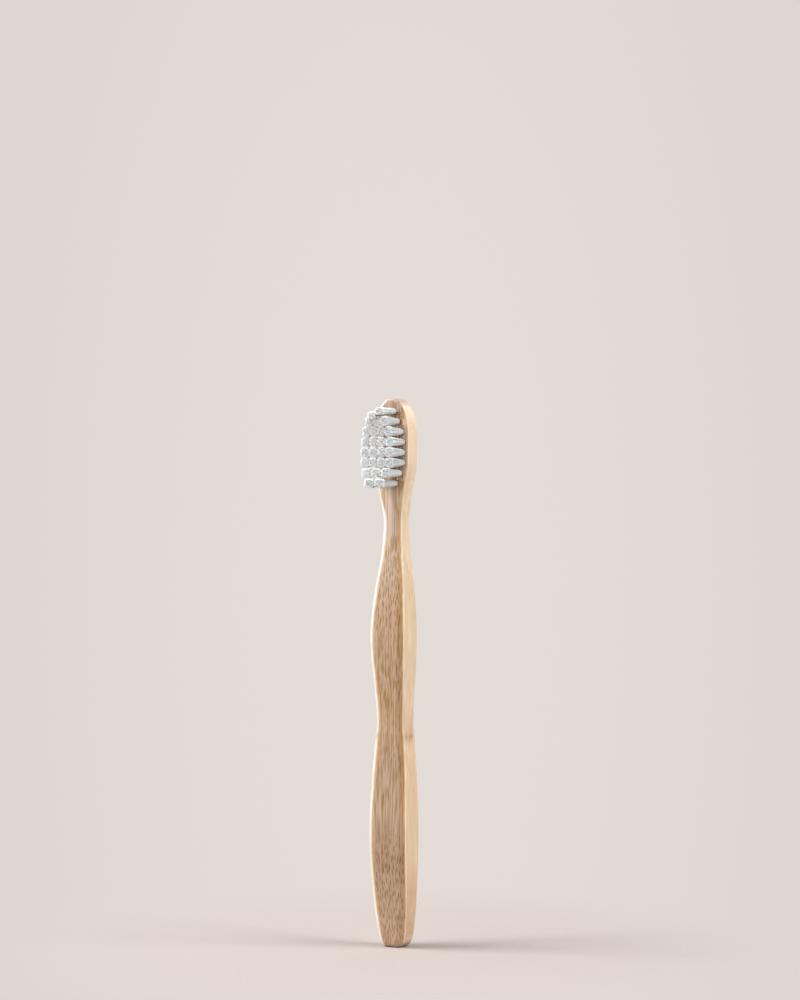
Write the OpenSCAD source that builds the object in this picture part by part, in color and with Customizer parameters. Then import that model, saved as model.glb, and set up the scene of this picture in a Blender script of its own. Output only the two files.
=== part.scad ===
// Child-size bamboo toothbrush, standing on its tail end.
// Frame: Z runs up the handle from the centre of the tail's flat end, X is the width,
// and the bristles point along -Y. The back of the brush is one flat plane.

/* [Length] */
// Overall length of the handle, from tail end to the top of the head
brush_length = 150; // [140:1:190]
// Height of the lower grip's widest place above the tail end
lower_grip_z = 31; // [26:0.5:36]
// Height of the waist above the tail end
waist_z = 62; // [56:0.5:67]
// Height of the upper grip's widest place above the tail end
upper_grip_z = 84.5; // [78:0.5:90]
// Distance of the neck's narrowest place below the last row of tufts
neck_drop = 10.6; // [8:0.2:14]

/* [Width] */
// Width of the handle where the tail's sides would reach the floor
tail_w = 7.9; // [6.5:0.1:9.5]
// Width of the flat that the brush stands on
tail_flat_w = 3.2; // [2.6:0.1:4.4]
// Width of the lower grip
lower_grip_w = 12.1; // [11:0.1:15]
// Width of the waist between the two grips
waist_w = 8.8; // [8:0.1:10.5]
// Width of the upper grip
upper_grip_w = 11.2; // [10.5:0.1:14]
// Width of the neck
neck_w = 6; // [5:0.1:7.5]
// Width of the head
head_w = 11.4; // [10.6:0.1:13]

/* [Thickness] */
// Thickness at the tail end
tail_t = 6; // [5:0.1:7]
// Thickness of the lower grip
lower_grip_t = 8.4; // [7:0.1:9]
// Thickness of the waist
waist_t = 7.2; // [6:0.1:7.8]
// Thickness of the upper grip
upper_grip_t = 8.6; // [7:0.1:9]
// Thickness of the neck
neck_t = 5.8; // [5.2:0.1:7]
// Thickness of the head, drilled from its front face
head_t = 5.9; // [5.2:0.1:6.6]
// Thickness of the wood left behind the tuft holes
hole_back_t = 2.1; // [1.4:0.1:2.6]

/* [Edges] */
// Radius of the rounded edges all along the back, and along the front up to the neck
edge_r = 1.6; // [1:0.1:1.9]
// Radius of the edges round the head's drilled face
face_edge_r = 0.8; // [0.6:0.1:1.2]
// Radius of the edges round the tail's flat end
tail_edge_r = 0.8; // [0.5:0.1:1.1]
// Height of the rounded corners at the tail end
tail_corner_h = 4.2; // [3:0.1:5.5]
// Height of the round crown at the top of the head
crown_h = 10.2; // [8:0.1:12]

/* [Bristles] */
// Distance from the top of the head to the first row of tufts
first_row_drop = 3.6; // [3.2:0.1:4.5]
// Distance between rows of tufts
row_pitch = 2.82; // [2.4:0.02:2.9]
// Width of the wood left between the outermost tuft holes and the side of the head
rim_w = 0.85; // [0.7:0.05:1.2]
// Diameter of the tuft holes, as a share of the distance between them in the closest row
hole_share = 0.73; // [0.66:0.01:0.78]
// Length of the bristles above the face of the head, in the rows at its middle
bristle_length = 6.8; // [6:0.1:11]
// Gap between neighbouring tufts at their trimmed tips, where they are widest
tuft_gap = 0.12; // [0.08:0.02:0.4]
// Least gap between neighbouring strands at the foot of a tuft
strand_gap = 0.05; // [0.03:0.01:0.08]

/* [Anchors] */
// How far the metal anchor plate bites into the wood on each side of its hole
anchor_bite = 0.13; // [0.08:0.01:0.16]
// Height of the anchor plate along the hole
anchor_h = 1.4; // [1:0.1:1.6]
// Thickness of the anchor plate
anchor_t = 0.25; // [0.2:0.01:0.4]
// Thickness of the fold of bristles under the anchor
fold_t = 0.45; // [0.3:0.05:0.6]

/* [Hidden] */
// Radial room round a tuft's root in its hole
root_gap = 0.03;
// Rings of strands round the middle one in each tuft
strand_rings = 2;
// Distance by which a strand's foot is sunk in the root
strand_sink = 0.4;
// How far a cutter runs past the surface that it opens
overrun = 1;
// Number of tufts in each row, from the top of the head down
tufts_in_row = [2, 3, 4, 4, 4, 4, 3, 2];
rows = len(tufts_in_row);
// Distance between neighbouring tufts in each row, as a share of the widest rows' column pitch
row_pitch_shares = [0.96, 0.9, 0.9, 1, 1, 1, 1.17, 1.27];
// Length to which each row is trimmed, as a share of the bristle length
row_trim_shares = [1.12, 1.04, 0.98, 0.96, 1, 1, 1.08, 1.22];
// Flat steps round a quarter of a rounded edge, along an end's curve and along each side
edge_steps = 4;
end_steps = 9;
side_steps = 44;
bore_fn = 48;

back_y = tail_t / 2;
face_y = back_y - head_t;
crown_z = brush_length - crown_h;
last_row_z = brush_length - first_row_drop - (rows - 1) * row_pitch;
neck_z = last_row_z - neck_drop;
hole_depth = head_t - hole_back_t;
// The widest rows' holes, and the wood between them, reach from rim to rim.
hole_d_share = min(row_pitch_shares) * hole_share;
column_pitch = (head_w - 2 * rim_w) / (max(tufts_in_row) - 1 + hole_d_share);
hole_d = column_pitch * hole_d_share;
anchor_w = hole_d + 2 * anchor_bite;
// The drilled face is flat from one row pitch below the last row up to the crown.
face_start_z = last_row_z - row_pitch;

// Places on the way from one named width to the next: a share of the height and of the width between them.
tail_rise_shares = [0.42, 0.72];
lower_fall_shares = [0.5, 0.3];
waist_rise_shares = [0.45, 0.45];
upper_fall_shares = [0.42, 0.33];
neck_fall_shares = [0.72, 0.82];
neck_rise_shares = [0.28, 0.28];
head_rise_shares = [0.72, 0.98];

// A place between stations a and b, given its two shares of the way.
function between(a, b, shares) = [a[0] + (b[0] - a[0]) * shares[0], a[1] + (b[1] - a[1]) * shares[1]];

tail_at = [0, tail_w];
lower_at = [lower_grip_z, lower_grip_w];
waist_at = [waist_z, waist_w];
upper_at = [upper_grip_z, upper_grip_w];
neck_at = [neck_z, neck_w];
head_at = [crown_z, head_w];

width_stations = [
  tail_at, between(tail_at, lower_at, tail_rise_shares),
  lower_at, between(lower_at, waist_at, lower_fall_shares),
  waist_at, between(waist_at, upper_at, waist_rise_shares),
  upper_at, between(upper_at, neck_at, upper_fall_shares), between(upper_at, neck_at, neck_fall_shares),
  neck_at, between(neck_at, head_at, neck_rise_shares), between(neck_at, head_at, head_rise_shares),
  head_at, [brush_length, head_w]
];
thickness_stations = [
  [0, tail_t], [lower_grip_z, lower_grip_t], [waist_z, waist_t], [upper_grip_z, upper_grip_t],
  [neck_z, neck_t], [face_start_z, head_t], [brush_length, head_t]
];

// The rise of a station list from place i to the next one, per mm of height.
function rise(s, i) = (s[i + 1][1] - s[i][1]) / (s[i + 1][0] - s[i][0]);
// The slope at place i: level at a widest or narrowest place, and otherwise between its neighbours' rises.
function slope(s, i) =
  i == 0 ? rise(s, 0) :
  i == len(s) - 1 ? rise(s, i - 1) :
  rise(s, i - 1) * rise(s, i) <= 0 ? 0 :
  2 * rise(s, i - 1) * rise(s, i) / (rise(s, i - 1) + rise(s, i));
function span_of(s, z, i = 0) = i >= len(s) - 2 || z <= s[i + 1][0] ? i : span_of(s, z, i + 1);
function hermite(a, b, ma, mb, t) =
  a * (2 * t ^ 3 - 3 * t ^ 2 + 1) + b * (3 * t ^ 2 - 2 * t ^ 3) +
  ma * (t ^ 3 - 2 * t ^ 2 + t) + mb * (t ^ 3 - t ^ 2);
// The value of a smooth curve through the stations at height z.
function along(s, z) =
  let(k = span_of(s, z), step = s[k + 1][0] - s[k][0])
  hermite(s[k][1], s[k + 1][1], slope(s, k) * step, slope(s, k + 1) * step, (z - s[k][0]) / step);

back_edge_stations = [[0, tail_edge_r], [tail_corner_h, edge_r], [brush_length, edge_r]];
front_edge_stations = [
  [0, tail_edge_r], [tail_corner_h, edge_r], [neck_z, edge_r],
  [last_row_z, face_edge_r], [brush_length, face_edge_r]
];

function half_w(z) = along(width_stations, z) / 2;
function thickness(z) = along(thickness_stations, z);

// Outline of the handle's right half, from the edge of the tail's flat up to just below the crown's top.
tail_points = [
  for (k = [0:end_steps - 1])
    let(a = 90 * k / end_steps, z = tail_corner_h * (1 - cos(a)))
    [half_w(z) - (tail_w - tail_flat_w) / 2 * (1 - sin(a)), z]
];
side_points = [
  for (k = [0:side_steps])
    let(z = tail_corner_h + (crown_z - tail_corner_h) * k / side_steps)
    [half_w(z), z]
];
crown_points = [
  for (k = [1:end_steps - 1])
    let(a = 90 * k / end_steps, z = crown_z + crown_h * sin(a))
    [half_w(z) * cos(a), z]
];
right_half = concat(tail_points, side_points, crown_points);
n_half = len(right_half);
outline = concat(
  right_half,
  [[0, brush_length]],
  [for (k = [n_half - 1:-1:0]) [-right_half[k][0], right_half[k][1]]]
);
n_outline = len(outline);

// Unit vector square to the outline at place i, pointing into the wood.
function inward(i) =
  let(
    a = outline[(i + n_outline - 1) % n_outline],
    b = outline[(i + 1) % n_outline],
    d = (b - a) / norm(b - a)
  )
  [-d[1], d[0]];

// Quarter-round angles of the front edge (1) and the back edge (-1): 0 on a flat face and 90 on the side.
layers = concat(
  [for (k = [0:edge_steps]) [90 * k / edge_steps, 1]],
  [for (k = [edge_steps:-1:0]) [90 * k / edge_steps, -1]]
);
n_layers = len(layers);

// One point of the handle's skin: place i on the outline, in one of the layers from front to back.
function skin_point(i, layer) =
  let(
    r = along(layer[1] > 0 ? front_edge_stations : back_edge_stations, outline[i][1]),
    p = outline[i] + inward(i) * r * (1 - sin(layer[0])),
    depth = r * (1 - cos(layer[0])),
    z = min(max(p[1], 0), brush_length)
  )
  [p[0], layer[1] > 0 ? back_y - thickness(z) + depth : back_y - depth, p[1]];

skin_points = [for (layer = layers) for (i = [0:n_outline - 1]) skin_point(i, layer)];

function at(layer, i) = layer * n_outline + i % n_outline;
side_faces = [
  for (j = [0:n_layers - 2]) for (i = [0:n_outline - 1])
    for (f = [[at(j, i), at(j + 1, i), at(j + 1, i + 1)], [at(j, i), at(j + 1, i + 1), at(j, i + 1)]]) f
];
// A flat face's strips run from each place on the right half to its mirror image on the left.
function strip_faces(layer, flip) = [
  for (i = [0:n_half - 1])
    let(
      a = at(layer, i), b = at(layer, i + 1),
      c = at(layer, n_outline - 2 - i), d = at(layer, n_outline - 1 - i)
    )
    for (f = i == n_half - 1 ? [[a, b, d]] : [[a, b, c], [a, c, d]])
      flip ? [f[2], f[1], f[0]] : f
];

module handle_blank() {
  polyhedron(
    points = skin_points,
    faces = concat(side_faces, strip_faces(0, false), strip_faces(n_layers - 1, true)),
    convexity = 6
  );
}

function row_z(row) = brush_length - first_row_drop - row * row_pitch;
function tuft_x(row, column) =
  (column - (tufts_in_row[row] - 1) / 2) * column_pitch * row_pitch_shares[row];

// Puts a child at a tuft hole's mouth, with +Z along the bristles.
module at_hole(row, column) {
  translate([tuft_x(row, column), face_y, row_z(row)]) rotate([90, 0, 0]) children();
}

// The anchor plate lies across the grain, on the fold of bristles at the bottom of the hole.
module anchor_plate() {
  translate([-anchor_w / 2, -anchor_t / 2, fold_t - hole_depth]) cube([anchor_w, anchor_t, anchor_h]);
}

module handle() {
  color("#d9b37c")
    difference() {
      handle_blank();
      for (row = [0:rows - 1]) for (column = [0:tufts_in_row[row] - 1])
        at_hole(row, column) {
          translate([0, 0, -hole_depth]) cylinder(d = hole_d, h = hole_depth + overrun, $fn = bore_fn);
          anchor_plate();
        }
    }
}

root_r = hole_d / 2 - root_gap;
// Distance from a strand's middle to its corners, and reach of the outermost middles at the foot
strand_r = (root_r - strand_rings * strand_gap) / (2 * strand_rings + 1);
foot_reach = root_r - strand_r;

// Middles of a tuft's strands at its foot: one in the middle, and 6 more in each ring round it.
strand_places = [
  for (ring = [0:strand_rings]) for (k = [0:max(6 * ring, 1) - 1])
    let(turn = 360 * k / max(6 * ring, 1) + 15 * ring, reach = foot_reach * ring / strand_rings)
    [reach * cos(turn), reach * sin(turn)]
];

// How much farther apart the middles are at the trimmed tips, across the head and along it.
function tip_spread(row) = [
  ((column_pitch * min(row_pitch_shares[row], 1) - tuft_gap) / 2 - strand_r) / foot_reach,
  ((row_pitch - tuft_gap) / 2 - strand_r) / foot_reach
];

// Corners of a strand's square section round a middle.
function strand_ring(middle, z) = [
  for (a = [45:90:315]) [middle[0] + strand_r * cos(a), middle[1] + strand_r * sin(a), z]
];

// A straight strand from its foot to its tip, each given by its middle.
module strand(foot, tip, length) {
  polyhedron(
    points = concat(strand_ring(foot, -strand_sink), strand_ring(tip, length)),
    faces = [
      [0, 1, 2], [0, 2, 3], [6, 5, 4], [7, 6, 4],
      for (k = [0:3]) let(n = (k + 1) % 4) for (f = [[k, k + 4, n + 4], [k, n + 4, n]]) f
    ]
  );
}

// A bundle of strands, folded round its anchor plate and packed into its hole.
module bristle_tuft(row, column) {
  spread = tip_spread(row);
  color("#e9edf0")
    at_hole(row, column)
      union() {
        difference() {
          translate([0, 0, -hole_depth]) cylinder(r = root_r, h = hole_depth, $fn = bore_fn);
          anchor_plate();
        }
        for (foot = strand_places)
          strand(foot, [foot[0] * spread[0], foot[1] * spread[1]], bristle_length * row_trim_shares[row]);
      }
}

module anchor(row, column) {
  color("#c9c2a6") at_hole(row, column) anchor_plate();
}

function tuft_name(row, column) = str("bristle_tuft_r", row + 1, "_c", column + 1);
function anchor_name(row, column) = str("anchor_r", row + 1, "_c", column + 1);

handle();
for (row = [0:rows - 1]) for (column = [0:tufts_in_row[row] - 1]) {
  bristle_tuft(row, column);
  anchor(row, column);
}
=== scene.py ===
# %% [markdown]
# # A bamboo toothbrush
# A child's toothbrush, 15 cm tall: a handle shaped from one strip of bamboo, 26 tufts of fine
# nylon filament, and a small brass plate that pins each tuft in its hole. The measured model
# is loaded first as a fixed frame. New materials on its solids would be the quick way, but
# bristles need real filaments and sanded bamboo needs soft edges. So the handle and the tufts
# are made again over the frame, at the same size and in the same place.

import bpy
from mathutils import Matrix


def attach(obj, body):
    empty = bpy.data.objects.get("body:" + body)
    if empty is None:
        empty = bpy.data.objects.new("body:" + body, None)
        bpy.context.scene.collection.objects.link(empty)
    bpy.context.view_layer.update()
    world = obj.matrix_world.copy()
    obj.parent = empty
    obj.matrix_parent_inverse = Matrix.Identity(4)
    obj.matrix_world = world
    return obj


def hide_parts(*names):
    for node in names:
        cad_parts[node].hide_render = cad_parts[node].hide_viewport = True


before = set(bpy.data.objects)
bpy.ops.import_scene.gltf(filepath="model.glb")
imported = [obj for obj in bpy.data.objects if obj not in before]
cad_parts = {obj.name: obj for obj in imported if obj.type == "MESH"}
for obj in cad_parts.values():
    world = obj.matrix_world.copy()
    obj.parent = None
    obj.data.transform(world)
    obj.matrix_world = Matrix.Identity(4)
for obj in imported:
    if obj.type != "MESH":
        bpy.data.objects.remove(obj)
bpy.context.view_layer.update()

# %% [markdown]
# ## Working in millimetres
# Blender works in metres, and a toothbrush is easier to think of in millimetres. The sizes
# below are written in millimetres and turned into metres when a mesh is made. Finished
# objects could be scaled down instead, but then their meshes wouldn't hold the true size.

# %% Tools and units
import math
import random

import bmesh
import bpy
import numpy as np
from mathutils import Vector

MM = 0.001


def show_in_scene(name, points, faces, smooth=True):
    """Makes a piece from points in millimetres and the faces between them."""
    mesh = bpy.data.meshes.new(name)
    mesh.from_pydata([tuple(value * MM for value in point) for point in points], [], faces)
    mesh.polygons.foreach_set("use_smooth", [smooth] * len(mesh.polygons))
    mesh.update()
    piece = bpy.data.objects.new(name, mesh)
    bpy.context.scene.collection.objects.link(piece)
    return piece


print("a size of 1 is", MM, "m")

# %% [markdown]
# ## Camera
# The brush was photographed almost level, from about a third of a right angle to the right of
# straight in front. The camera goes there first, so that every later step can be judged in
# the same view. A short lens from close by would frame it as well, but would make the slim
# handle bulge. A long lens from three quarters of a metre keeps it straight.

# %% Camera at the photographed angle
camera_turn = math.radians(33)
camera_distance, camera_height = 0.771, 0.12219
lens, film = 101.3, 36
picture_width, picture_height = 800, 1000
brush_column = 396.2
ahead = Vector((-math.sin(camera_turn), math.cos(camera_turn), 0))
to_the_right = Vector((math.cos(camera_turn), math.sin(camera_turn), 0))
pixel = camera_distance / (picture_height * lens / film)

camera_data = bpy.data.cameras.new("camera")
camera_data.lens = lens
camera_data.sensor_width = film
camera_data.clip_start = 0.01
camera = bpy.data.objects.new("camera", camera_data)
bpy.context.scene.collection.objects.link(camera)
aside = to_the_right * (picture_width / 2 - brush_column) * pixel
camera.location = -ahead * camera_distance + aside + Vector((0, 0, camera_height))
camera.rotation_euler = ahead.to_track_quat("-Z", "Y").to_euler()
bpy.context.scene.camera = camera
bpy.context.scene.view_settings.view_transform = "Standard"
print("one pixel at the brush is", round(pixel / MM, 3), "mm")

# %% [markdown]
# ## The handle's outline
# A maker draws the outline on the strip before sawing it: tail, lower grip, waist, upper
# grip, neck and head. The rows of tufts set where the head and the neck are. Each named place
# has a height and a width, and a place between two of them says whether the edge swells
# early or late.

# %% Heights along the brush
brush_length = 150
tufts_in_row = [2, 3, 4, 4, 4, 4, 3, 2]
first_row_drop, row_pitch = 3.6, 2.82
first_row_z = brush_length - first_row_drop
last_row_z = first_row_z - (len(tufts_in_row) - 1) * row_pitch
face_start_z = last_row_z - row_pitch
neck_drop, crown_height = 10.6, 10.2
neck_z = last_row_z - neck_drop
crown_z = brush_length - crown_height
print("neck at", round(neck_z, 2), "mm, crown from", round(crown_z, 2), "mm")

# %% Widths along the brush
tail, lower_grip, waist = (0, 7.9), (31, 12.1), (62, 8.8)
upper_grip, neck, head = (84.5, 11.2), (neck_z, 6), (crown_z, 11.4)


def between(start, end, way, change):
    """A place between two others, by its share of the way up and of the change in width."""
    return start[0] + (end[0] - start[0]) * way, start[1] + (end[1] - start[1]) * change


widths = [
    tail, between(tail, lower_grip, 0.42, 0.72),
    lower_grip, between(lower_grip, waist, 0.5, 0.3),
    waist, between(waist, upper_grip, 0.45, 0.45),
    upper_grip, between(upper_grip, neck, 0.42, 0.33), between(upper_grip, neck, 0.72, 0.82),
    neck, between(neck, head, 0.28, 0.28), between(neck, head, 0.72, 0.98),
    head, (brush_length, head[1]),
]
print("the width is given at", len(widths), "heights")

# %% Thicknesses along the brush
tail_thickness, head_thickness = 6, 5.9
back_y = tail_thickness / 2
face_y = back_y - head_thickness
thicknesses = [
    (0, tail_thickness), (lower_grip[0], 8.4), (waist[0], 7.2), (upper_grip[0], 8.6),
    (neck_z, 5.8), (face_start_z, head_thickness), (brush_length, head_thickness),
]
print("the drilled face is at y =", round(face_y, 2), "mm")

# %% [markdown]
# A smooth curve runs through the named places. It is level at the widest and narrowest ones,
# which keeps it from wobbling between them. A spline would be the usual tool, but it swings
# past the widest places. This curve never does.

# %% A curve that never overshoots


def rise(stations, k):
    """How steep the straight stretch above station k is."""
    return (stations[k + 1][1] - stations[k][1]) / (stations[k + 1][0] - stations[k][0])


def slope(stations, k):
    """How steep the curve is at station k: level where the stretches turn back."""
    if k == 0:
        return rise(stations, 0)
    if k == len(stations) - 1:
        return rise(stations, k - 1)
    below, above = rise(stations, k - 1), rise(stations, k)
    return 0 if below * above <= 0 else 2 * below * above / (below + above)


def along(stations, z):
    """The value at height z of the smooth curve through the stations."""
    k = 0
    while k < len(stations) - 2 and z > stations[k + 1][0]:
        k += 1
    step = stations[k + 1][0] - stations[k][0]
    t = (z - stations[k][0]) / step
    start, end = stations[k][1], stations[k + 1][1]
    leaving, arriving = slope(stations, k) * step, slope(stations, k + 1) * step
    return (
        start * (2 * t**3 - 3 * t**2 + 1) + end * (3 * t**2 - 2 * t**3)
        + leaving * (t**3 - 2 * t**2 + t) + arriving * (t**3 - t**2)
    )


def half_width(z):
    return along(widths, z) / 2


print("width halfway up:", round(2 * half_width(brush_length / 2), 2), "mm")

# %% [markdown]
# ## The bamboo's node
# Bamboo grows in joints. Where the strip crosses one, a low shelf is left after sanding: the
# wood steps out by nearly a fifth of a millimetre under a shallow groove, and runs back
# below. It wanders a little on its way round, and the flat face has lost most of it. It could
# be left to a bump map, but the shelf shows in the outline, so it is part of the shape.

# %% Relief of the node
node_height = 57.9
shelf_step, shelf_top, shelf_foot = 0.18, 1.5, 4.5
groove_depth, groove_rise, groove_width = 0.05, 2.3, 0.8
left_on_the_face = 0.25
wander_height, wander_across, wander_side = 0.5, 0.6, 1.4


def node_relief(x, z, turn, front):
    """How far the node stands out; turn is 0 on a face and a right angle on a side."""
    up = z - node_height - wander_height * math.sin(wander_across * x + wander_side * front)
    shelf = shelf_step * math.exp(-(up / (shelf_top if up > 0 else shelf_foot)) ** 2)
    groove = groove_depth * math.exp(-((up - groove_rise) / groove_width) ** 2)
    kept = left_on_the_face + (1 - left_on_the_face) * math.sin(turn) ** 2
    return (shelf - groove) * kept


side_turn = math.pi / 2
print("the node stands out by", round(node_relief(0, node_height, side_turn, 1), 2), "mm")

# %% [markdown]
# ## Sawing and rounding the handle
# The outline is repeated in layers from the front face to the back face, each pulled in a
# little where an edge is rounded. Bevelling a flat cut-out would round every edge alike. In
# layers the head's drilled face keeps a crisp edge, the grip's front edges are sanded wider
# than they are deep, and the crown's nearly twice as wide.

# %% Points round the outline
tail_corner, tail_flat_width = 4.2, 3.2
tail_steps, side_steps, crown_steps = 16, 230, 26


def tail_points():
    """The rounded corner of the tail, from its flat end upwards."""
    points = []
    for k in range(tail_steps):
        turn = math.radians(90 * k / tail_steps)
        z = tail_corner * (1 - math.cos(turn))
        inset = (tail[1] - tail_flat_width) / 2 * (1 - math.sin(turn))
        points.append((half_width(z) - inset, z))
    return points


def side_points():
    """The long side, from the tail's corner to the crown."""
    heights = [tail_corner + (crown_z - tail_corner) * k / side_steps for k in range(side_steps + 1)]
    return [(half_width(z), z) for z in heights]


def crown_points():
    """The crown's quarter of an oval, up to just before its top."""
    points = []
    for k in range(1, crown_steps):
        turn = math.radians(90 * k / crown_steps)
        z = crown_z + crown_height * math.sin(turn)
        points.append((half_width(z) * math.cos(turn), z))
    return points


right_half = tail_points() + side_points() + crown_points()
outline = right_half + [(0, brush_length)] + [(-x, z) for x, z in reversed(right_half)]
print("outline points:", len(outline))

# %% How far each edge is rounded
soft_edge, crisp_edge, tail_front_edge = 1.6, 0.8, 1.25
back_radii = [(0, crisp_edge), (tail_corner, soft_edge), (brush_length, soft_edge)]
front_radii = [
    (0, tail_front_edge), (tail_corner, soft_edge), (neck_z, soft_edge),
    (last_row_z, crisp_edge), (brush_length, crisp_edge),
]
grip_spread, crown_spread = 1.5, 1.9
front_spreads = [
    (0, 1), (tail_corner, grip_spread), (neck_z, grip_spread), (last_row_z, 1),
    (brush_length - 7, 1), (brush_length - 3, crown_spread), (brush_length, crown_spread),
]
edge_steps = 7
quarter = [math.radians(90 * k / edge_steps) for k in range(edge_steps + 1)]
layers = [(turn, 1) for turn in quarter] + [(turn, -1) for turn in reversed(quarter)]
print("layers:", len(layers))

# %% Points and faces of the handle


def skin_point(i, turn, front):
    """A point of the handle's skin: front is 1 on the front half and -1 on the back half."""
    x, z = outline[i]
    before, after = outline[i - 1], outline[(i + 1) % len(outline)]
    run = Vector((after[0] - before[0], after[1] - before[1])).normalized()
    radius = along(front_radii if front > 0 else back_radii, z)
    spread = along(front_spreads, z) if front > 0 else 1
    relief = node_relief(x, z, turn, front)
    pull = radius * spread * (1 - math.sin(turn)) - relief * math.sin(turn)
    depth = radius * (1 - math.cos(turn)) - relief * math.cos(turn)
    y = back_y - along(thicknesses, z) + depth if front > 0 else back_y - depth
    return (x - run[1] * pull, y, z + run[0] * pull)


def skin_faces(count, rings):
    """Walls between the layers, and a front and a back made of strips from side to side."""
    faces = []
    for low in range(0, (rings - 1) * count, count):
        high = low + count
        for i in range(count):
            k = (i + 1) % count
            faces.append((low + i, high + i, high + k, low + k))
    top = count // 2
    for start, flip in ((0, False), ((rings - 1) * count, True)):
        for i in range(top):
            strip = [start + i, start + i + 1, start + count - 2 - i, start + count - 1 - i]
            if i == top - 1:
                strip.pop(2)
            faces.append(tuple(reversed(strip)) if flip else tuple(strip))
    return faces


skin = [skin_point(i, turn, front) for turn, front in layers for i in range(len(outline))]
handle = show_in_scene("bamboo_handle", skin, skin_faces(len(outline), len(layers)))
print("handle faces before drilling:", len(handle.data.polygons))

# %% [markdown]
# ## Drilling the head
# The head is drilled with 26 blind holes in eight rows. The size of a hole follows from how
# close the tufts stand in the tightest row. Painted dots would look like holes from straight
# in front, but cut ones have true depth in every view.

# %% Places of the tufts
# For each row from the top: how far apart its tufts stand, and how long they are
row_pitch_shares = [0.96, 0.9, 0.9, 1, 1, 1, 1.17, 1.27]
row_trim_shares = [1.12, 1.04, 0.98, 0.96, 1, 1, 1.08, 1.22]
# A hole takes this share of the tightest pitch, and a rim of wood stays on both sides
hole_share, rim_width = 0.73, 0.85
hole_in_pitch = min(row_pitch_shares) * hole_share
column_pitch = (head[1] - 2 * rim_width) / (max(tufts_in_row) - 1 + hole_in_pitch)
hole_radius = column_pitch * hole_in_pitch / 2
wood_behind_hole = 2.1
hole_depth = head_thickness - wood_behind_hole

tufts = []
for row, count in enumerate(tufts_in_row):
    for column in range(count):
        x = (column - (count - 1) / 2) * column_pitch * row_pitch_shares[row]
        tufts.append((row, column, x, first_row_z - row * row_pitch))
print("tufts:", len(tufts), "in holes", round(2 * hole_radius, 2), "mm wide")

# %% [markdown]
# The cutter for one hole is turned like a real bit: a straight shank with a slightly wider
# shoulder that eases the mouth. A thin slot across each hole takes the anchor plate, which is
# hammered into the wood. Both cutters are made for all the holes at once.

# %% The bit
shoulder, shoulder_top, shoulder_foot = 0.1, 0.06, -0.04
bit_top, bit_sides = 1, 40
bit_profile = [
    (hole_radius + shoulder, bit_top), (hole_radius + shoulder, shoulder_top),
    (hole_radius, shoulder_foot), (hole_radius, -hole_depth),
]


def rod_faces(rings, sides):
    """Faces of a closed rod: walls between its rings, and a cap on each end."""
    faces = []
    for low in range(0, (rings - 1) * sides, sides):
        high = low + sides
        for k in range(sides):
            m = (k + 1) % sides
            faces.append((low + k, low + m, high + m, high + k))
    faces.append(tuple(reversed(range(sides))))
    faces.append(tuple(range((rings - 1) * sides, rings * sides)))
    return faces


def bit(x, z):
    """The cutter for one hole."""
    points = []
    for radius, out in bit_profile:
        for k in range(bit_sides):
            turn = 2 * math.pi * k / bit_sides
            points.append((x + radius * math.cos(turn), face_y - out, z + radius * math.sin(turn)))
    return points, rod_faces(len(bit_profile), bit_sides)


def joined(parts):
    """Joins several pairs of points and faces into one pair."""
    points, faces = [], []
    for part_points, part_faces in parts:
        start = len(points)
        points.extend(part_points)
        faces.extend(tuple(start + corner for corner in face) for face in part_faces)
    return points, faces


bits = show_in_scene("bits", *joined(bit(x, z) for _, _, x, z in tufts), smooth=False)
print("faces of the bits:", len(bits.data.polygons))

# %% The slot cutter
plate_bite, plate_thickness, plate_height, plate_lift = 0.13, 0.25, 1.4, 0.45
plate_width = 2 * (hole_radius + plate_bite)
box_faces = [(0, 1, 2, 3), (7, 6, 5, 4), (0, 4, 5, 1), (1, 5, 6, 2), (2, 6, 7, 3), (3, 7, 4, 0)]


def slot(x, z):
    """The cutter for the slot of one plate."""
    low = face_y + hole_depth - plate_lift - plate_height
    corners = ((-1, -1), (1, -1), (1, 1), (-1, 1))
    points = [
        (x + side_x * plate_width / 2, y, z + side_z * plate_thickness / 2)
        for y in (low, low + plate_height) for side_x, side_z in corners
    ]
    return points, box_faces


slots = show_in_scene("slots", *joined(slot(x, z) for _, _, x, z in tufts), smooth=False)
print("faces of the slot cutters:", len(slots.data.polygons))

# %% [markdown]
# Boolean modifiers do the cutting. They need closed meshes whose faces all look outwards, so
# every piece is turned outwards first. Weighted normals then keep the flat faces flat beside
# the small faces of the roundings.

# %% Drill the handle


def outward(piece):
    """Turns every face of a closed piece outwards."""
    mesh = bmesh.new()
    mesh.from_mesh(piece.data)
    bmesh.ops.recalc_face_normals(mesh, faces=mesh.faces)
    mesh.to_mesh(piece.data)
    mesh.free()


def cut_from(piece, cutter):
    """Cuts the cutter's shape out of a piece, and takes the cutter away."""
    outward(cutter)
    cut = piece.modifiers.new("cut", "BOOLEAN")
    cut.operation = "DIFFERENCE"
    cut.solver = "EXACT"
    cut.object = cutter
    bpy.context.view_layer.update()
    result = piece.evaluated_get(bpy.context.evaluated_depsgraph_get())
    cut_mesh = bpy.data.meshes.new_from_object(result)
    piece.modifiers.clear()
    piece.data = cut_mesh
    bpy.data.objects.remove(cutter)


sharp_angle = math.radians(32)
outward(handle)
cut_from(handle, bits)
cut_from(handle, slots)
handle.data.set_sharp_from_angle(angle=sharp_angle)
even_shading = handle.modifiers.new("even shading", "WEIGHTED_NORMAL")
even_shading.keep_sharp = True
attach(handle, "root")
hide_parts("handle")
print("handle faces after drilling:", len(handle.data.polygons))

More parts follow.
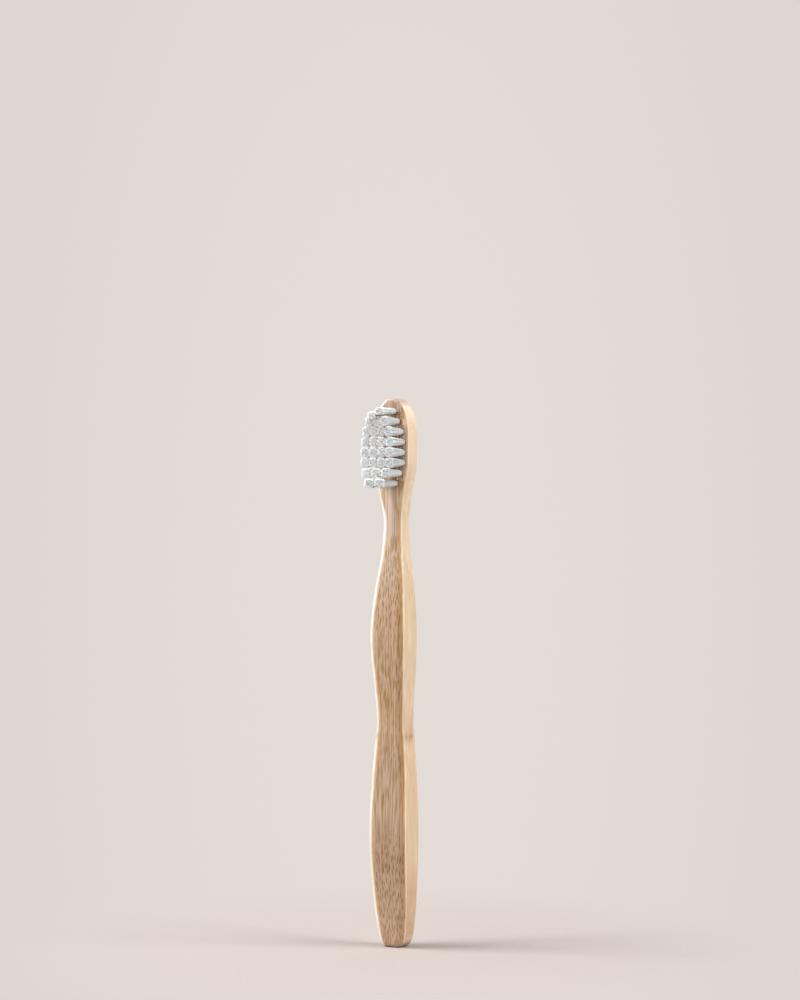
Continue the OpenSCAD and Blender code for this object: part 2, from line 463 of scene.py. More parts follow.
# %% [markdown]
# ## Bristle tufts
# A machine folds a small bundle of filaments over a brass plate and drives both into the
# hole. So each filament here is a long U: up one side, down under the plate, and up the
# other side. In the hole they are packed tight, and above it the bundle opens towards the
# trimmed tips. Hair particles would be quicker to set up, but they have no fold in the hole,
# no rounded ends and no mesh to keep.

# %% One filament as a tube
filament_radius, tip_radius = 0.075, 0.13
filament_sides = 5


def tube(path, radii):
    """A tube round a path that lies nearly in a plane of constant x."""
    path = np.array(path)
    run = np.gradient(path, axis=0)
    run /= np.linalg.norm(run, axis=1)[:, None]
    across = np.array([1.0, 0, 0]) - run * run[:, :1]
    across /= np.linalg.norm(across, axis=1)[:, None]
    up = np.cross(run, across)
    turns = 2 * np.pi * np.arange(filament_sides) / filament_sides
    rings = (
        path[:, None]
        + np.array(radii)[:, None, None]
        * (across[:, None] * np.cos(turns)[:, None] + up[:, None] * np.sin(turns)[:, None])
    )
    return rings.reshape(-1, 3).tolist(), rod_faces(len(path), filament_sides)


print("a filament is", 2 * filament_radius, "mm thick and", 2 * tip_radius, "mm at its tip")

# %% [markdown]
# The folded filaments lie over the plate in layers, like logs in a pile, and the layers get
# shorter away from it. That makes each half of the bundle a half circle, and the two halves
# fill the round hole.

# %% Places of the filaments in a bundle
layer_counts = [10, 10, 9, 7, 4]
packing = 0.158


def bundle():
    """Places of the folded filaments: across the tuft, and the layer away from the plate."""
    places = []
    for layer, count in enumerate(layer_counts):
        for k in range(count):
            places.append(((k - (count - 1) / 2) * packing, layer))
    return places


def layer_middle(layer):
    return (layer + 0.5) * packing


print("filament ends in a tuft:", 2 * len(bundle()))

# %% [markdown]
# Above the hole each leg leans outwards until the tuft's tips all but touch the next tuft's.
# The corners are filled a little, since neighbours press a round bundle square. Small seeded
# slips keep the tips from lining up, and give the same tuft on every run.

# %% How far a tuft opens
foot_reach, tip_gap, widest_share = 0.76, 0.02, 1.2
tip_height_shares = [0.72, 0.94, 1.0, 0.96, 0.99, 1.0, 0.96, 0.9]


def opening(row):
    """How many times wider than its foot a tuft of this row is at its tips: across and up."""
    room_across = column_pitch * min(row_pitch_shares[row], widest_share)
    room_up = row_pitch * tip_height_shares[row]
    return [((room - tip_gap) / 2 - tip_radius) / foot_reach for room in (room_across, room_up)]


print("a tuft of the fifth row opens", [round(times_wider, 2) for times_wider in opening(4)], "times")

# %% One leg of a filament, from its tip to its plate
bristle_length, tip_rounding = 6.8, 0.045
leg_shares, opening_curve, corner_fill = (1, 0.72, 0.42, 0.18), 0.92, 0.26
most_slip, most_lean = 0.075, 0.04
straight_depth, pinch = 0.9, 0.97
plate_gap, squeezed_layer = 0.01, 0.128
plate_foot = plate_lift - hole_depth
reaches_plate, leaves_plate = plate_foot + plate_height - 0.1, plate_foot + 0.05


def beside_plate(layer):
    """How far a layer runs from the middle of the plate's thickness."""
    return plate_thickness / 2 + filament_radius + plate_gap + layer * squeezed_layer


def leg(x, layer, side, row, droop, shake):
    """Points of one leg in the tuft's own frame: across, up the handle, and out of the hole."""
    lift = layer_middle(layer)
    squareness = 1 + corner_fill * (2 * x * lift / (x * x + lift * lift)) ** 2
    open_x, open_up = (times_wider * squareness for times_wider in opening(row))
    slip_x, slip_up, trim = (shake.uniform(-most_slip, most_slip) for _ in range(3))
    lean = shake.uniform(-most_lean, most_lean)
    points = []
    for share in leg_shares:
        opened = share ** opening_curve
        points.append((
            x * (1 + (open_x - 1) * opened) + slip_x * share + lean * math.sin(math.pi * share),
            side * lift * (1 + (open_up - 1) * opened) + (slip_up + droop) * share,
            (bristle_length * row_trim_shares[row] + trim) * share,
        ))
    tip_x, tip_up, tip_out = points[0]
    points[0] = (tip_x, tip_up, tip_out - tip_rounding)
    in_hole = [
        (x, side * lift, 0), (x, side * lift, -straight_depth),
        (x * pinch, side * beside_plate(layer), reaches_plate),
        (x * pinch, side * beside_plate(layer), leaves_plate),
    ]
    return [(tip_x, tip_up, tip_out)] + points + in_hole


print("the plate's foot is", round(-plate_foot, 2), "mm down the hole")

# %% [markdown]
# Under the plate the two legs meet in a short bend. The layers nest there, so the outer ones
# pass a little lower.

# %% The whole path of a folded filament
fold_shares = (0.22, 0.5, 0.78)
fold_gap, nested_layer = 0.005, 0.068


def fold(x, layer):
    below_plate = filament_radius + fold_gap + layer * nested_layer
    turns = [math.pi * share for share in fold_shares]
    return [
        (x * pinch, beside_plate(layer) * math.cos(turn), plate_foot - below_plate * math.sin(turn))
        for turn in turns
    ]


def filament_path(x, layer, row, droop, shake):
    one_leg = leg(x, layer, 1, row, droop, shake)
    other_leg = leg(x, layer, -1, row, droop, shake)
    return one_leg + fold(x, layer) + other_leg[::-1]


points_in_a_path = len(filament_path(packing, 0, 0, 0, random.Random(0)))
print("points in a filament's path:", points_in_a_path)

# %% [markdown]
# The trimmed ends are painted whiter, most of all round the upper left of each tuft, as a
# painted highlight where the ends face the light. A small number on each point says how white
# it is, and the nylon reads it. The white could be left to the lights alone.

# %% How white the ends are
rim_from, rim_turn, diagonal = 0.6, -0.12, 0.7
least_white, rim_white = 0.6, 0.75


def painted_end_highlight(x, up, glint):
    """How white a filament's end is painted: a painted highlight, strongest towards the light."""
    from_middle = math.hypot(x, up)
    towards_light = diagonal * (up - x) / from_middle
    on_the_rim = from_middle > rim_from and towards_light > rim_turn
    return max(least_white, on_the_rim * (rim_white + (1 - rim_white) * towards_light)) * glint


print("ends at the upper left:", round(painted_end_highlight(-1, 1, 1), 2), "others:", painted_end_highlight(1, -1, 1))

# %% Make the tufts
tip_droop = {(0, 0): -1.3, (0, 1): -0.15}
blunt_end = 0.5
least_glint, most_glint = 0.8, 1.2


def filament(x, z, place_x, layer, row, droop, shake):
    """A filament's points and faces, and how white each point is."""
    path = filament_path(place_x, layer, row, droop, shake)
    tip_out = path[0][2]
    widening = tip_radius - filament_radius
    radii = [filament_radius + widening * max(0, out) / tip_out for _, _, out in path]
    radii[0] = radii[-1] = tip_radius * blunt_end
    placed = [(x + across, face_y - out, z + up) for across, up, out in path]
    lift, glint = layer_middle(layer), shake.uniform(least_glint, most_glint)
    # painted highlight: the last two points at each end are whitened
    near, far = painted_end_highlight(place_x, lift, glint), painted_end_highlight(place_x, -lift, glint)
    whites = [near] * 2 + [0.0] * (len(path) - 4) + [far] * 2
    return tube(placed, radii), [white for white in whites for _ in range(filament_sides)]


def tuft(row, column, x, z, seed):
    shake = random.Random(seed)
    droop = tip_droop.get((row, column), 0)
    filaments = [filament(x, z, *place, row, droop, shake) for place in bundle()]
    points, faces = joined(shape for shape, _ in filaments)
    piece = show_in_scene(f"bristles_r{row + 1}_c{column + 1}", points, faces)
    rim = [white for _, whites in filaments for white in whites]
    piece.data.attributes.new("rim", "FLOAT", "POINT").data.foreach_set("value", rim)
    outward(piece)
    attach(piece, "root")
    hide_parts(f"bristle_tuft_r{row + 1}_c{column + 1}")
    return piece


bristles = [tuft(*place, seed) for seed, place in enumerate(tufts)]
print("faces in a tuft:", len(bristles[0].data.polygons))

# %% [markdown]
# ## A short way to wire shader nodes
# A material is a small machine of nodes. It could be wired by hand in Blender's shader
# editor, but written down it can be read, changed and made again. The helpers here add nodes
# and feed them: a plain value is set on its socket, and another node's output is linked. The
# bamboo's material is begun on the way, to try them.

# %% Feed a node and add one


def feed(node, **inputs):
    """Sets or links a node's inputs by name, with _ for a space, or by number as i0, i1, i2."""
    for name, value in inputs.items():
        key = int(name[1:]) if name[0] == "i" and name[1:].isdigit() else name.replace("_", " ")
        if isinstance(value, bpy.types.NodeSocket):
            node.id_data.links.new(value, node.inputs[key])
        else:
            node.inputs[key].default_value = value


def wire(tree, kind, settings=None, **inputs):
    node = tree.nodes.new(kind)
    for name, value in (settings or {}).items():
        setattr(node, name, value)
    feed(node, **inputs)
    return node


def new_material(name):
    material = bpy.data.materials.new(name)
    material.use_nodes = True
    tree = material.node_tree
    return material, tree, tree.nodes["Principled BSDF"]


bamboo, tree, surface = new_material("bamboo")
print("a new material has", len(tree.nodes), "nodes")

# %% Numbers: sums, products and ranges


def calculate(tree, operation, a, b=0.0, c=0.0):
    return wire(tree, "ShaderNodeMath", {"operation": operation}, i0=a, i1=b, i2=c).outputs[0]


def times(tree, a, b):
    return calculate(tree, "MULTIPLY", a, b)


def all_but(tree, value):
    return calculate(tree, "SUBTRACT", 1.0, value)


def remap(tree, value, start, end, low, high, kind="LINEAR"):
    """Turns start to end into low to high, and stays there outside."""
    return wire(
        tree, "ShaderNodeMapRange", {"interpolation_type": kind},
        Value=value, From_Min=start, From_Max=end, To_Min=low, To_Max=high,
    ).outputs[0]


def soft_step(tree, value, start, end):
    return remap(tree, value, start, end, 0.0, 1.0, "SMOOTHSTEP")


def vector_math(tree, operation, a, b=(0, 0, 0)):
    return wire(tree, "ShaderNodeVectorMath", {"operation": operation}, i0=a, i1=b).outputs


where = wire(tree, "ShaderNodeTexCoord").outputs
here = where["Object"]
apart = wire(tree, "ShaderNodeSeparateXYZ", Vector=here).outputs
height = calculate(tree, "DIVIDE", apart["Z"], brush_length * MM)
print("nodes with the height on the brush:", len(tree.nodes))

# %% Colours: ramps and mixes


def grey(level):
    return (level, level, level)


def with_alpha(colour):
    """A colour with its fourth part; another node's output stays as it is."""
    return colour if isinstance(colour, bpy.types.NodeSocket) else (*colour, 1)


def ramp(tree, value, stops):
    """A colour ramp with its stops given as (place, colour)."""
    node = wire(tree, "ShaderNodeValToRGB", Fac=value)
    while len(node.color_ramp.elements) < len(stops):
        node.color_ramp.elements.new(0.5)
    for element, (place, colour) in zip(node.color_ramp.elements, stops):
        element.position = place
        element.color = with_alpha(colour)
    return node.outputs["Color"]


def levels(tree, value, stops):
    """A ramp of greys, used as a number that changes from place to place."""
    return ramp(tree, value, [(place, grey(level)) for place, level in stops])


def mix(tree, factor, a, b, blend="MIX"):
    """Shows a where the factor is 0 and b where it is 1."""
    node = wire(tree, "ShaderNodeMix", {"data_type": "RGBA", "blend_type": blend})
    feed(node, i0=factor, i6=with_alpha(a), i7=with_alpha(b))
    return node.outputs[2]


def tint(tree, tone, colour, amount=1.0):
    """Multiplies a tone by a colour."""
    return mix(tree, amount, tone, colour, "MULTIPLY")


print("a middle grey is written", with_alpha(grey(0.5)))

# %% [markdown]
# ## Bamboo
# A cut strip of bamboo shows its fibres as long fine lines, with the darker bundles that
# carried the plant's water as streaks or as short dashes. An image could be wrapped round the
# handle, but noise that is stretched along the strip follows the wood through every edge by
# itself. One noise gives broad shades, one gives streaks and one gives fine hairs.

# %% Bamboo grain


def stretched_noise(tree, place, across_mm, along_mm, detail=4.0, roughness=0.55, shift=0.0):
    """Noise whose grains are so many millimetres across the strip and along it."""
    scaled = wire(
        tree, "ShaderNodeMapping", Vector=place,
        Location=(shift, shift * 0.7, shift * 1.3),
        Scale=(1 / (across_mm * MM), 1 / (across_mm * MM), 1 / (along_mm * MM)),
    )
    return wire(
        tree, "ShaderNodeTexNoise", Vector=scaled.outputs["Vector"],
        Scale=1.0, Detail=detail, Roughness=roughness,
    ).outputs["Fac"]


broad = stretched_noise(tree, here, 2.2, 46, detail=2, shift=3.1)
streaks = stretched_noise(tree, here, 0.38, 170, detail=1.2, roughness=0.45, shift=2.9)
hairs = stretched_noise(tree, here, 0.24, 14, detail=2, shift=1.4)
print("nodes with the three noises:", len(tree.nodes))

# %% [markdown]
# Where the cut leaves the grain at a slant, the bundles end as dashes. Noise cut off sharply
# would give blots of every size. A Voronoi texture gives one middle to each cell of a jumbled
# grid, and a small upright oval round each middle makes one dash. Near the tail the cells are
# smaller, and the dashes finer.

# %% One dash in each cell
cell_width, cell_height = 0.86, 2.7
tail_reach, narrower, shorter = 9, 0.3, 1.9
near_tail = calculate(tree, "EXPONENT", calculate(tree, "DIVIDE", apart["Z"], -tail_reach * MM))
across_cells = calculate(tree, "DIVIDE", apart["X"], cell_width * MM)
across_cells = times(tree, across_cells, calculate(tree, "MULTIPLY_ADD", near_tail, narrower, 1.0))
along_cells = calculate(tree, "DIVIDE", apart["Z"], cell_height * MM)
along_cells = calculate(tree, "SUBTRACT", along_cells, times(tree, near_tail, shorter))
jumbled = calculate(tree, "ADD", across_cells, times(tree, hairs, 0.2))
flat_place = wire(tree, "ShaderNodeCombineXYZ", X=jumbled, Y=along_cells, Z=0.0).outputs[0]
cells = wire(
    tree, "ShaderNodeTexVoronoi", {"voronoi_dimensions": "2D"},
    Vector=flat_place, Scale=1.0, Randomness=0.88,
)
dash_width, dash_height = 0.19, 0.36
from_dash = vector_math(tree, "SUBTRACT", flat_place, cells.outputs["Position"])[0]
in_dashes = vector_math(tree, "MULTIPLY", from_dash, (1 / dash_width, 1 / dash_height, 0))[0]
dash = remap(tree, vector_math(tree, "LENGTH", in_dashes)["Value"], 0.7, 1.3, 1.0, 0.0)
dash = times(tree, dash, levels(tree, height, [(0.03, 0.88), (0.14, 1.0)]))
print("a dash is about", round(2 * dash_height * cell_height, 1), "mm tall")

# %% [markdown]
# The front is cut through the middle of the culm's wall. There the pith between the bundles
# is a greyish pink and the bundles are tan. The sides run with the fibres and are a plain
# light honey. Which is which could be said with a material for each face, but the rounded
# edges need a soft change. So it is read from the way that the surface faces.

# %% Which way the surface faces
facing = wire(tree, "ShaderNodeSeparateXYZ", Vector=where["Normal"]).outputs
to_front = times(tree, facing["Y"], -1.0)
to_left = times(tree, facing["X"], -1.0)
to_right = facing["X"]
past_edge = soft_step(tree, to_right, 0.70, 0.86)
frontness = times(tree, soft_step(tree, to_front, 0.2, 0.4), all_but(tree, past_edge))
rounding = soft_step(tree, to_right, 0.32, 0.55)
print("nodes so far:", len(tree.nodes))

# %% Streaks in some stretches, dashes in others
last_dash = 0.72
dash_zone = levels(tree, height, [
    (0.0, 1.0), (0.18, 1.0), (0.23, 0.0), (0.31, 0.0), (0.35, 0.7),
    (0.46, 0.25), (0.54, 0.3), (0.585, 1.0), (0.68, 1.0), (last_dash, 0.0),
])
streak = levels(tree, streaks, [(0.46, 0.0), (0.60, 0.9)])
dash_on_streaks = calculate(tree, "MAXIMUM", dash, times(tree, streak, 0.4))
bundles = mix(tree, dash_zone, streak, dash_on_streaks)
print("dashes end", round(last_dash * brush_length), "mm up")

# %% [markdown]
# Pith and bundles are mixed first. Where the front turns into the right side, the edge is
# mixed towards tan and then made lighter and warmer; that lift is painted light, filling the
# dim turn between the lamps. The whole front then changes with height, as the strip does:
# pinker at the tail and browner round the grips. From just below the tufts to the first rows
# it is made much lighter, which is painted light filling the shade that the tufts cast on the
# face. One even tone would be quicker, but it would look like plastic.

# %% Tone of the front
pith, bundle_tan, edge_tan = (0.395, 0.268, 0.178), (0.235, 0.108, 0.018), (0.42, 0.232, 0.095)
edge_share = levels(tree, height, [
    (0.1, 0.2), (0.26, 0.52), (0.46, 0.2), (0.6, 0.25), (0.7, 0.6), (0.78, 0.55), (0.87, 0.3),
])
front_tone = mix(tree, bundles, pith, bundle_tan)
front_tone = mix(tree, times(tree, rounding, edge_share), front_tone, edge_tan)
# painted light: the turn into the right side is made lighter and warmer, where the lamps leave it dim
front_tone = tint(tree, front_tone, (1.17, 1.08, 0.93), times(tree, rounding, 0.75))
# painted light: the strong lift from just below the tufts to the first rows fills the shade the tufts
# cast
front_tone_and_fill_by_height = ramp(tree, height, [
    (0.0, (1.05, 1.08, 1.19)), (0.10, (1.01, 1.05, 1.14)), (0.16, (0.91, 0.89, 0.89)),
    (0.24, (0.98, 1.03, 1.09)), (0.33, (0.91, 0.88, 0.80)), (0.44, (1.08, 1.08, 0.98)),
    (0.52, (1.11, 1.13, 1.10)), (0.6, (0.92, 0.84, 0.71)), (0.67, (0.99, 1.0, 1.08)),
    (0.74, (1.11, 1.23, 1.42)), (0.79, (1.24, 1.37, 1.60)), (0.83, (1.6, 1.78, 2.1)),
    (0.955, (1.5, 1.68, 2.0)), (0.975, (0.88, 0.9, 1.08)),
])
front_tone = tint(tree, front_tone, front_tone_and_fill_by_height)
print("pith:", pith, "bundles:", bundle_tan)

# %% [markdown]
# The sides are one light honey with faint streaks, made darker near the tail; that is painted
# shade where the side turns downwards, away from the lamps. The end grain on the crown drinks
# more oil and is darker, and a painted highlight lightens the turn into the right side. A
# second material for the sides would end in a hard line, so both tones are mixed in this one.

# %% Tone of the sides
side_tone = ramp(tree, streaks, [
    (0.3, (0.61, 0.44, 0.27)), (0.5, (0.66, 0.50, 0.33)), (0.7, (0.69, 0.545, 0.385)),
])
# painted shade: the side is darkened near the tail, where it turns downwards
side_tone_and_shade_by_height = ramp(tree, height, [
    (0.0, (0.70, 0.62, 0.56)), (0.10, (0.74, 0.66, 0.61)), (0.16, (0.91, 0.88, 0.88)),
    (0.35, (0.92, 0.88, 0.88)), (0.44, (0.99, 0.97, 1.08)), (0.55, (0.95, 0.95, 0.97)),
    (0.67, (0.90, 0.90, 0.89)), (0.74, (1.0, 1.03, 1.09)), (1.0, (1.0, 1.03, 1.12)),
])
side_tone = tint(tree, side_tone, side_tone_and_shade_by_height)
end_grain = soft_step(tree, facing["Z"], 0.5, 0.85)
side_tone = mix(tree, end_grain, side_tone, (0.33, 0.225, 0.155))
short_of_side = all_but(tree, soft_step(tree, to_right, 0.93, 0.985))
# painted highlight: a lighter strip where the front's edge turns into the right side
painted_turn_highlight = times(tree, soft_step(tree, to_right, 0.78, 0.86), short_of_side)
side_tone = mix(tree, times(tree, painted_turn_highlight, 0.5), side_tone, (0.78, 0.63, 0.48))
tone = mix(tree, frontness, side_tone, front_tone)
print("nodes so far:", len(tree.nodes))

# %% [markdown]
# The left front edge is painted almost white, a painted highlight where the rounding faces the
# lamps on the left, with a thin tan line where it meets the front. A strip of faces with a tone
# of their own would look cut out. Soft steps on the way that the surface faces let the edge
# fade on both sides.

# %% Painted highlight on the left edge
at_the_turn = times(tree, soft_step(tree, to_left, 0.01, 0.14), soft_step(tree, to_front, 0.5, 0.9))
turn_share = levels(tree, height, [(0.72, 0.36), (0.78, 0.05)])
tone = mix(tree, times(tree, at_the_turn, turn_share), tone, (0.50, 0.29, 0.12))
# painted highlight: the left front rounding is mixed towards near white, whiter at the head
left_edge_highlight = times(tree, soft_step(tree, to_left, 0.13, 0.45), soft_step(tree, to_front, 0.1, 0.4))
left_highlight_tone = ramp(tree, height, [(0.74, (0.70, 0.64, 0.585)), (0.79, (0.76, 0.71, 0.665))])
left_highlight_share = 0.9
tone = mix(tree, times(tree, left_edge_highlight, left_highlight_share), tone, left_highlight_tone)
print("the worn edge covers", left_highlight_share, "of the tone under it")

# %% [markdown]
# Broad soft shades and the fine hairs of the fibres go over everything, because they belong
# to the wood and not to one face. They could be mixed into each tone by itself, but then
# they would change at the edges.

# %% Shades over the whole handle
broad_shade = ramp(tree, broad, [(0.3, (0.95, 0.92, 0.85)), (0.7, (1.06, 1.07, 1.10))])
tone = tint(tree, tone, broad_shade)
hair_shade = levels(tree, hairs, [(0.32, 0.84), (0.5, 1.0), (0.68, 1.12)])
tone = tint(tree, tone, hair_shade, 0.75)
print("nodes so far:", len(tree.nodes))

# %% [markdown]
# Between the tufts the face is made about twice as light, which is painted light filling the
# shade that the tufts cast there, and a small noise in the tone scatters dark specks over it.
# Splinters could be modelled, but they are finer than a tenth of a millimetre, so a small
# noise in the tone is enough.

# %% Wood between the tufts
from_middle_line = calculate(tree, "ABSOLUTE", apart["X"])
fill_from, fill_to = 0.835, 0.982
tuft_rows = levels(tree, height, [(fill_from, 0.0), (0.85, 1.0), (0.972, 1.0), (fill_to, 0.0)])
on_the_face = times(tree, tuft_rows, soft_step(tree, to_front, 0.9, 0.98))
beside_tufts = soft_step(tree, from_middle_line, 4.2 * MM, 4.8 * MM)
among_tufts = times(tree, on_the_face, all_but(tree, beside_tufts))
speck_noise = stretched_noise(tree, here, 0.3, 0.3, detail=0.5, shift=4.4)
# painted light: about twice as light between the tufts, with small dark specks
tuft_fill_and_specks = ramp(tree, speck_noise, [(0.46, (2.0, 2.05, 2.25)), (0.57, (0.85, 0.75, 0.70))])
tone = mix(tree, among_tufts, tone, tint(tree, tone, tuft_fill_and_specks))
print("the broken wood is", round((fill_to - fill_from) * brush_length, 1), "mm tall")

# %% [markdown]
# Round the node the wood is stained: a thin dark line along the ridge, never quite straight
# and strongest at the edges, and a faint green-brown cast above it. A straight band would
# look painted on, so two noises bend it and break it up.

# %% Stain at the node
wander = stretched_noise(tree, here, 1.6, 1.6, detail=2, shift=9.3)
wandering_height = calculate(tree, "ADD", apart["Z"], times(tree, wander, 3.6 * MM))
past_node = remap(tree, wandering_height, 57 * MM, 69 * MM, 0.0, 1.0)
node_line = levels(tree, past_node, [
    (0.0, 0.0), (0.08, 0.25), (0.19, 0.6), (0.30, 0.35), (0.5, 0.2), (1.0, 0.0),
])
at_the_sides = soft_step(tree, from_middle_line, 1.5 * MM, 4.2 * MM)
stain = calculate(tree, "ADD", times(tree, at_the_sides, 0.95), 0.15)
smudges = stretched_noise(tree, here, 0.7, 7, detail=1, shift=6.2)
stain = times(tree, stain, levels(tree, smudges, [(0.42, 0.25), (0.58, 1.0)]))
tone = mix(tree, times(tree, node_line, stain), tone, (0.27, 0.15, 0.055))
print("nodes so far:", len(tree.nodes))

# %% [markdown]
# The finish is a thin rubbed oil: satin on the wood, a little glossier where the fibres lie
# flat. The fibres also stand up by a few hundredths of a millimetre, which a bump gives.
# Real grooves of that size would need millions of faces.

# %% Bamboo's finish
fibre_relief = calculate(tree, "SUBTRACT", hairs, times(tree, bundles, 0.25))
fibres = wire(tree, "ShaderNodeBump", Strength=0.4, Distance=0.05 * MM, Height=fibre_relief)
gloss = remap(tree, streaks, 0.3, 0.7, 0.46, 0.36)
feed(surface, Base_Color=tone, Roughness=gloss, Normal=fibres.outputs["Normal"])
feed(surface, Specular_IOR_Level=0.35, Coat_Weight=0.12, Coat_Roughness=0.3)
handle.data.materials.clear()
handle.data.materials.append(bamboo)
print("bamboo nodes:", len(tree.nodes))

# %% [markdown]
# The walls of the holes get a rougher, very dark brown finish of their own, which shows as a
# thin dark ring round the foot of each tuft. The dark brown is painted shade for the gap
# between each tuft and its hole. Painting the ring on the face would be easier, but it wouldn't
# follow the holes inwards.

# %% Walls of the drilled holes
drilled, tree, surface = new_material("drilled_bamboo")
here = wire(tree, "ShaderNodeTexCoord").outputs["Object"]
torn = stretched_noise(tree, here, 0.12, 0.3, detail=3, shift=2.2)
# painted shade: the hole walls are made very dark brown
painted_hole_shade = ramp(tree, torn, [(0.35, (0.13, 0.065, 0.03)), (0.65, (0.27, 0.15, 0.075))])
torn_fibres = wire(tree, "ShaderNodeBump", Strength=0.5, Distance=0.06 * MM, Height=torn)
feed(surface, Base_Color=painted_hole_shade, Roughness=0.8, Normal=torn_fibres.outputs["Normal"])
handle.data.materials.append(drilled)
wall_top, wall_foot = face_y + 0.01, face_y + hole_depth + 0.1
wall_reach = plate_width / 2 + 0.05


def in_a_hole(x, y, z):
    """Whether a point lies below the face, and within reach of a plate's ends."""
    if not wall_top < y < wall_foot:
        return False
    return any(math.hypot(x - hole_x, z - hole_z) < wall_reach for _, _, hole_x, hole_z in tufts)


walls = [face for face in handle.data.polygons if in_a_hole(*(face.center / MM))]
for face in walls:
    face.material_index = 1
print("faces in the holes:", len(walls))

# %% [markdown]
# ## Nylon
# Nylon filament is cool, milky and slightly see-through. Light goes in at the side and
# softly comes out again. Clear glass would show that too, but slowly and with much noise.
# Scattering under the surface gives it at a lower price.

# %% Nylon for the bristles
nylon, tree, surface = new_material("bristle_nylon")
here = wire(tree, "ShaderNodeTexCoord").outputs["Object"]
cloud = stretched_noise(tree, here, 0.5, 0.5, detail=2)
milk = ramp(tree, cloud, [(0.35, (0.57, 0.578, 0.583)), (0.65, (0.62, 0.625, 0.627))])
rim = wire(tree, "ShaderNodeAttribute", {"attribute_name": "rim"}).outputs["Fac"]
# painted highlight: the ends of the filaments are mixed towards white
milk = mix(tree, levels(tree, rim, [(0.5, 0.08), (0.88, 1.0)]), milk, (1.0, 1.0, 1.0))
feed(surface, Base_Color=milk, Roughness=remap(tree, cloud, 0.3, 0.7, 0.28, 0.4), IOR=1.53)
feed(surface, Subsurface_Weight=0.35, Subsurface_Radius=(0.4 * MM,) * 3, Subsurface_Scale=1.0)
for piece in bristles:
    piece.data.materials.append(nylon)
print("nylon tufts:", len(bristles))

# %% [markdown]
# ## Brass
# The anchor plates are stamped from drawn brass strip. They hide at the bottom of the holes,
# and a plain metal would pass. But a reader who opens the model should find the real thing
# there: fine drawing lines along the strip and a slightly uneven polish.

# %% Brass for the anchor plates
brass, tree, surface = new_material("anchor_metal")
here = wire(tree, "ShaderNodeTexCoord").outputs["Object"]
drawn = wire(tree, "ShaderNodeMapping", Vector=here, Scale=(400, 9000, 9000)).outputs["Vector"]
lines = wire(tree, "ShaderNodeTexNoise", Vector=drawn, Scale=1.0, Detail=3.0).outputs["Fac"]
warm = ramp(tree, lines, [(0.3, (0.60, 0.47, 0.24)), (0.7, (0.78, 0.64, 0.36))])
polish = remap(tree, lines, 0.3, 0.7, 0.22, 0.42)
scratches = wire(tree, "ShaderNodeBump", Strength=0.2, Distance=0.02 * MM, Height=lines)
feed(surface, Base_Color=warm, Roughness=polish, Normal=scratches.outputs["Normal"], Metallic=1.0)
for row, column, _, _ in tufts:
    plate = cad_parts[f"anchor_r{row + 1}_c{column + 1}"]
    plate.material_slots[0].material = brass
print("brass plates:", len(tufts))

# %% [markdown]
# ## Floor
# The brush stands on a pale seamless sweep, so no horizon shows. A curved sheet would do in
# one view and hide the brush in another. A round floor that fades out before its edge works
# from any side, and it can't be seen from below.

# %% Floor that fades out
floor_radius, floor_rings, floor_sides = 620, 6, 96
floor_drop, fade_start, fade_end = 0.02, 30, 130


def disc(name, radius, rings, sides):
    points = [(0, 0, 0)]
    for ring in range(1, rings + 1):
        for k in range(sides):
            turn = 2 * math.pi * k / sides
            reach = radius * ring / rings
            points.append((reach * math.cos(turn), reach * math.sin(turn), 0))
    faces = [(0, 1 + k, 1 + (k + 1) % sides) for k in range(sides)]
    for low in range(1, 1 + (rings - 1) * sides, sides):
        high = low + sides
        for k in range(sides):
            m = (k + 1) % sides
            faces.append((low + k, high + k, high + m, low + m))
    return show_in_scene(name, points, faces)


floor = disc("floor", floor_radius, floor_rings, floor_sides)
floor.location.z = -floor_drop * MM
floor_finish, tree, surface = new_material("floor")
here = wire(tree, "ShaderNodeTexCoord").outputs["Object"]
away = vector_math(tree, "LENGTH", here)["Value"]
fade = remap(tree, away, fade_start * MM, fade_end * MM, 1.0, 0.0, "SMOOTHSTEP")
underside = wire(tree, "ShaderNodeNewGeometry").outputs["Backfacing"]
paper = wire(tree, "ShaderNodeTexNoise", Vector=here, Scale=900.0, Detail=2.0).outputs["Fac"]
paper_tone = ramp(tree, paper, [(0.3, (0.341, 0.297, 0.271)), (0.7, (0.3605, 0.3155, 0.289))])
feed(surface, Base_Color=paper_tone, Alpha=times(tree, fade, all_but(tree, underside)))
feed(surface, Roughness=0.9, Specular_IOR_Level=0.1)
floor.data.materials.append(floor_finish)
print("the floor fades out", fade_end, "mm from the brush")

# %% [markdown]
# ## Backdrop
# Behind the floor is a plain pale shell with a soft pool of light where the photograph's
# backdrop is brightest. A lit wall would need lamps of its own, which would also reach the
# brush. The shell glows by itself, is only seen by the camera, and lights nothing.

# %% Backdrop shell
shell_radius = 4
backdrop_colour = (0.745, 0.687, 0.645)
shell_mesh = bmesh.new()
bmesh.ops.create_uvsphere(shell_mesh, u_segments=48, v_segments=24, radius=shell_radius)
shell_data = bpy.data.meshes.new("backdrop")
shell_mesh.to_mesh(shell_data)
shell_mesh.free()
shell = bpy.data.objects.new("backdrop", shell_data)
bpy.context.scene.collection.objects.link(shell)
for ray in ("diffuse", "glossy", "transmission", "volume_scatter", "shadow"):
    setattr(shell, f"visible_{ray}", False)

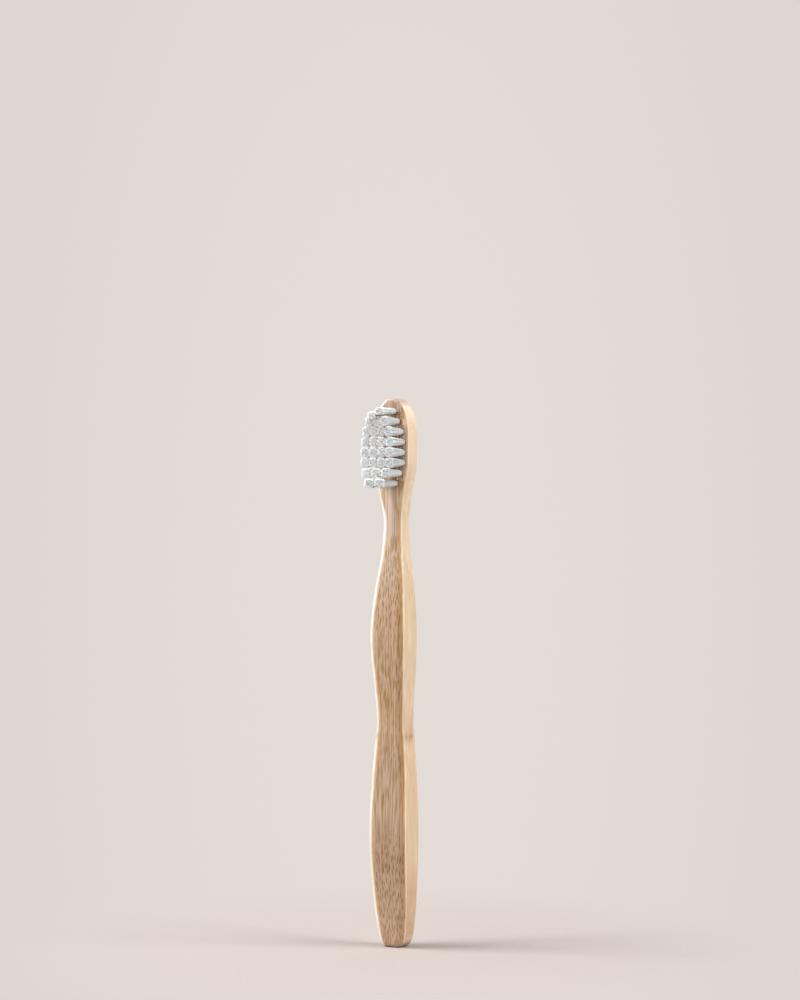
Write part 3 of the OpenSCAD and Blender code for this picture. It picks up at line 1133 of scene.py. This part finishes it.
shell_finish = bpy.data.materials.new("backdrop")
shell_finish.use_nodes = True
tree = shell_finish.node_tree
tree.nodes.clear()
here = wire(tree, "ShaderNodeTexCoord").outputs["Object"]
flattened = wire(tree, "ShaderNodeMapping", Vector=here, Scale=(1, 1, 0.4)).outputs[0]
off_centre = vector_math(tree, "DISTANCE", flattened, ahead * shell_radius)["Value"]
pool = remap(tree, off_centre, 0.2, 0.85, 1.04, 0.975, "SMOOTHSTEP")
glow = wire(tree, "ShaderNodeEmission", Color=(*backdrop_colour, 1), Strength=pool)
wire(tree, "ShaderNodeOutputMaterial", Surface=glow.outputs[0])
shell_data.materials.append(shell_finish)
print("backdrop", shell_radius, "m away on every side")

# %% [markdown]
# ## Light
# The photograph's two shadows tell where its lights stood: one high on the left, and one high
# on the right and further in front. Both are slightly cool. Two broad low panels open up the
# face and the side, which high lights alone would leave dull. One more draws the bright rim
# on the left, and a weak one fills the back. The room itself gives a dim, even and warm
# light, which tints the shadows. One ring of lamps would be simpler, but it leaves no shape.

# %% Soft boxes
light_distance, aim_height = 1.0, 0.075
neutral, cool = (1, 1, 1), (0.95, 1.0, 1.045)


def soft_box(name, turn, lift, size, power, colour=neutral):
    """A soft box placed by its turn from the camera, to the right, and its lift, in degrees."""
    turn, lift = math.radians(turn), math.radians(lift)
    level = -ahead * math.cos(turn) + to_the_right * math.sin(turn)
    towards = level * math.cos(lift) + Vector((0, 0, math.sin(lift)))
    data = bpy.data.lights.new(name, "AREA")
    data.shape = "RECTANGLE"
    data.size, data.size_y = size
    data.energy = power
    data.color = colour
    light = bpy.data.objects.new(name, data)
    bpy.context.scene.collection.objects.link(light)
    light.location = towards * light_distance + Vector((0, 0, aim_height))
    light.rotation_euler = (-towards).to_track_quat("-Z", "Y").to_euler()


soft_box("left_key", -87, 58, (0.36, 0.3), 11.4, cool)
soft_box("right_key", 68, 50, (0.42, 0.42), 8.1, cool)
soft_box("left_panel", -68, 12, (1.2, 0.7), 8.15)
soft_box("right_panel", 60, 12, (1.1, 0.7), 5.4)
soft_box("rim_box", -120, 20, (0.6, 0.7), 3.6)
soft_box("back_fill", 180, 25, (1.4, 0.8), 2.0)

world = bpy.data.worlds.new("room")
world.use_nodes = True
feed(world.node_tree.nodes["Background"], Color=(1.0, 0.935, 0.88, 1), Strength=0.357)
bpy.context.scene.world = world
print("soft boxes:", len(bpy.data.lights))
